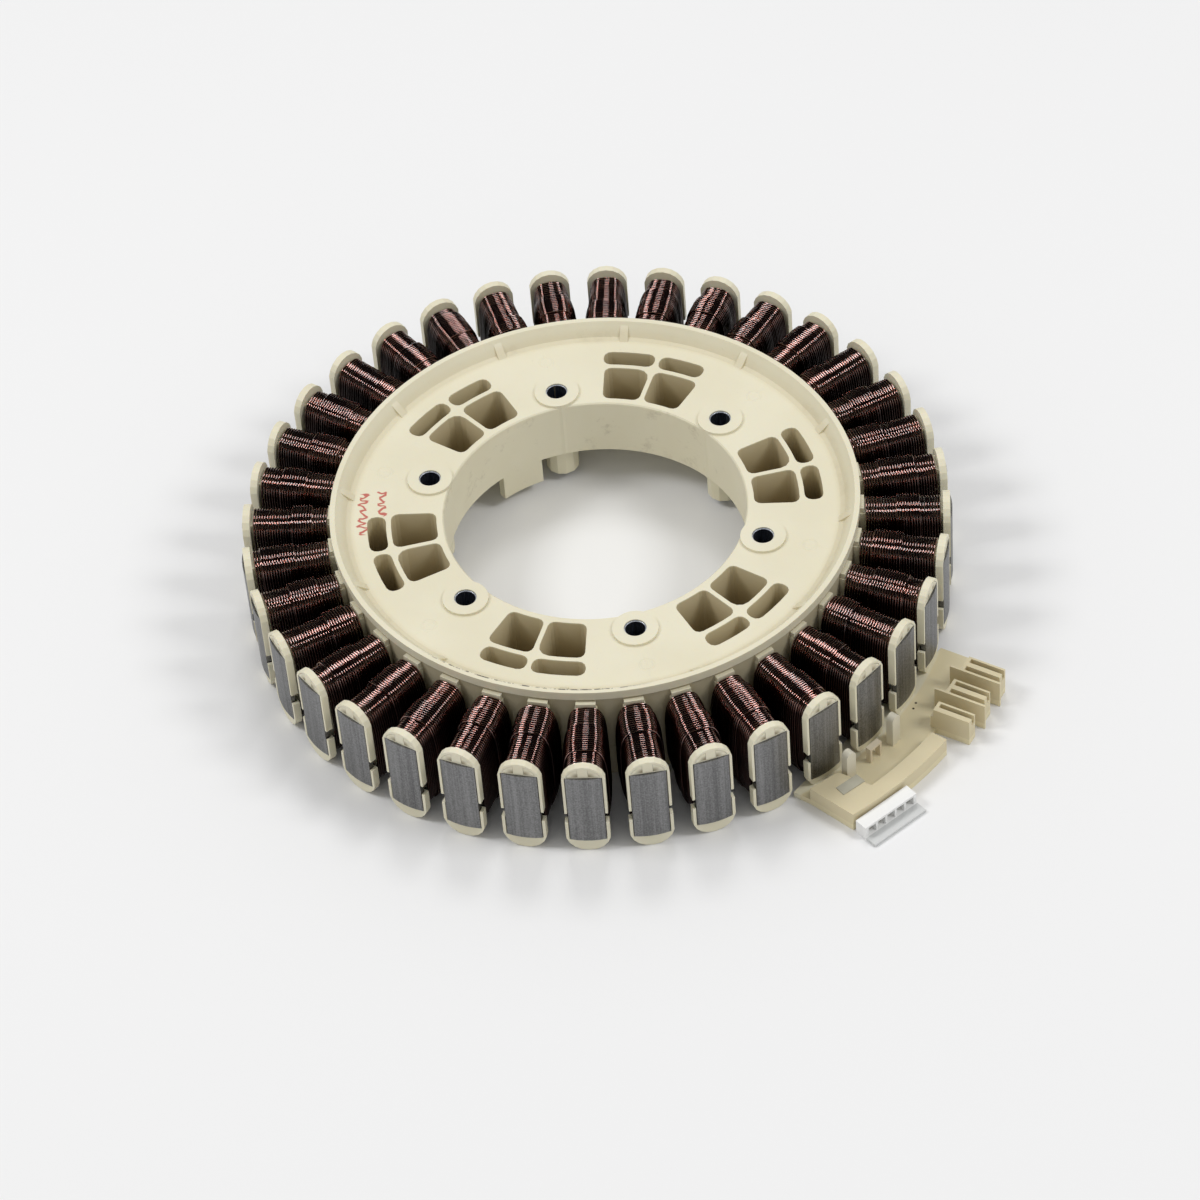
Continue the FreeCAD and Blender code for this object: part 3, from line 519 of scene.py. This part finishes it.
milky = Finish("milky_plastic", Roughness=0.4)
milky.mottle(80.0, (0.70, 0.66, 0.52), (0.78, 0.74, 0.61))
epoxy = Finish("black_epoxy", Roughness=0.6)
epoxy.mottle(500.0, (0.015, 0.015, 0.016), (0.03, 0.03, 0.03))
for number in (1, 2):
    dress(f"sensor_post_{number}", milky)
    dress(f"hall_sensor_{number}", epoxy)


# Small cream parts on the tray: a thin strip let into its end block, and a clip frame of two
# legs and a top that stands on its floor between the two sensor posts.

def tray_block(name, reaches, turns, heights):
    """A solid between two radii, two angles in degrees and two heights, in millimetres."""
    points = [(radius * math.cos(math.radians(angle)) * MM, radius * math.sin(math.radians(angle)) * MM,
               height * MM) for height in heights for angle in turns for radius in reaches]
    sides = [(0, 2, 3, 1), (4, 5, 7, 6), (0, 1, 5, 4), (2, 6, 7, 3), (0, 4, 6, 2), (1, 3, 7, 5)]
    mesh = bpy.data.meshes.new(name)
    mesh.from_pydata(points, [], sides)
    return add_object(name, mesh)


strip_plastic = Finish("strip_plastic", Roughness=0.55)
strip_plastic.mottle(300.0, (0.40, 0.38, 0.29), (0.50, 0.48, 0.38))
clip_plastic = Finish("clip_plastic", Roughness=0.5)
clip_plastic.mottle(90.0, (0.70, 0.61, 0.45), (0.76, 0.67, 0.50))
for name, finish, reaches, turns, heights in (
        ("groove_strip", strip_plastic, (142.6, 147.0), (-1.6, 2.3), (-34.1, -33.7)),
        ("clip_near_leg", clip_plastic, (136.3, 138.6), (6.8, 7.2), (-39.9, -34.0)),
        ("clip_far_leg", clip_plastic, (136.3, 138.6), (8.9, 9.3), (-39.9, -34.0)),
        ("clip_top", clip_plastic, (136.3, 138.6), (6.8, 9.3), (-34.0, -33.0))):
    piece = tray_block(name, reaches, turns, heights)
    piece.data.materials.append(finish.material)
    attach(piece, "root")


# Connector: white nylon with a slight sheen and a grey latch plate in front, and tinned
# contacts. The phase tabs are tinned as well, in a darker and rougher tin.

HEADER_WAY = (0.9995, 0.0314)
LATCH_START = (162.4 * MM, 162.8 * MM)

nylon = Finish("white_nylon", Roughness=0.38)
x, y, _ = nylon.axes()
on_latch = (x * HEADER_WAY[0] + y * HEADER_WAY[1]).smooth(*LATCH_START)
white = nylon.blend(nylon.noise(60.0), (0.84, 0.84, 0.82), (0.88, 0.88, 0.87))
nylon.set("Base Color", nylon.blend(on_latch, white, (0.60, 0.61, 0.60)))
dress("connector_header", nylon)
tin = Finish("tinned_metal", Metallic=1.0)
tin.mottle(600.0, (0.52, 0.50, 0.46), (0.68, 0.67, 0.64))
tin.set("Roughness", 0.3 + tin.noise(900.0) * 0.2)
dress("header_contacts", tin)
dull_tin = Finish("dull_tin", Metallic=1.0, Roughness=0.5)
dull_tin.mottle(600.0, (0.24, 0.22, 0.17), (0.36, 0.33, 0.27))
for number in (1, 2, 3):
    dress(f"phase_tab_{number}", dull_tin)


# Studio: a white table under broad soft lamps, seen from above one side. The room is nearly
# black in reflections, so that bare metal and enamel keep their dark sides.

FLOOR_SIDE = 12.0
REST_HEIGHT = -42.43 * MM
ROOM_LIGHT = 0.50
LOST_IN_REFLECTIONS = 0.48
SOFTBOX_SIDE = 0.62

corner = FLOOR_SIDE / 2
floor_mesh = bpy.data.meshes.new("table")
floor_mesh.from_pydata([(side_x * corner, side_y * corner, REST_HEIGHT)
                        for side_x, side_y in ((-1, -1), (1, -1), (1, 1), (-1, 1))],
                       [], [(0, 1, 2, 3)])
table = add_object("table", floor_mesh)
paper = Finish("table_paper", Roughness=0.75)
paper.mottle(2.0, (0.85, 0.85, 0.852), (0.86, 0.86, 0.86))
table.data.materials.append(paper.material)

world = bpy.data.worlds.new("studio")
bpy.context.scene.world = world
world.use_nodes = True
background = world.node_tree.nodes["Background"]
background.inputs["Color"].default_value = (1.0, 1.0, 1.0, 1.0)
mirrored = Graph(world.node_tree).node("ShaderNodeLightPath", "Is Glossy Ray")
plug(world.node_tree, ROOM_LIGHT - mirrored * LOST_IN_REFLECTIONS, background.inputs["Strength"])


def direction(azimuth, elevation):
    """The unit vector towards an azimuth and an elevation in degrees."""
    azimuth, elevation = math.radians(azimuth), math.radians(elevation)
    level = math.cos(elevation)
    return Vector((level * math.cos(azimuth), level * math.sin(azimuth), math.sin(elevation)))


for name, azimuth, elevation, distance, power in (
        ("softbox_right", 40.0, 48.0, 2.2, 13.6),
        ("softbox_left", -125.0, 50.0, 2.2, 14.6),
        ("softbox_back", 140.0, 60.0, 2.4, 9.4)):
    lamp = bpy.data.lights.new(name, "AREA")
    lamp.shape = "SQUARE"
    lamp.size = SOFTBOX_SIDE
    lamp.energy = power
    softbox = add_object(name, lamp)
    way = direction(azimuth, elevation)
    softbox.location = way * distance
    softbox.rotation_euler = (-way).to_track_quat("-Z", "Y").to_euler()


# Camera: it stands where the photograph was taken from, well above the stator and to one side
# of its tray, with the same long lens and slight roll.

CAMERA_AZIMUTH = -34.45
CAMERA_ELEVATION = 45.944
CAMERA_ROLL = math.radians(-5.063)
CAMERA_DISTANCE = 1.6792
AIM = Vector((0.0195, -0.0148, -0.0250))
LENS = 135.25
SENSOR = 36.0

away = direction(CAMERA_AZIMUTH, CAMERA_ELEVATION)
level_turn = math.radians(CAMERA_AZIMUTH)
right = Vector((-math.sin(level_turn), math.cos(level_turn), 0.0))
up = away.cross(right)
rolled_right = right * math.cos(CAMERA_ROLL) + up * math.sin(CAMERA_ROLL)
rolled_up = up * math.cos(CAMERA_ROLL) - right * math.sin(CAMERA_ROLL)
camera_data = bpy.data.cameras.new("photo_camera")
camera_data.lens = LENS
camera_data.sensor_width = SENSOR
camera_data.clip_end = 50.0
camera = add_object("photo_camera", camera_data)
facing = Matrix((rolled_right, rolled_up, away)).transposed().to_4x4()
camera.matrix_world = Matrix.Translation(AIM + away * CAMERA_DISTANCE) @ facing
bpy.context.scene.camera = camera
bpy.context.scene.view_settings.view_transform = "Standard"
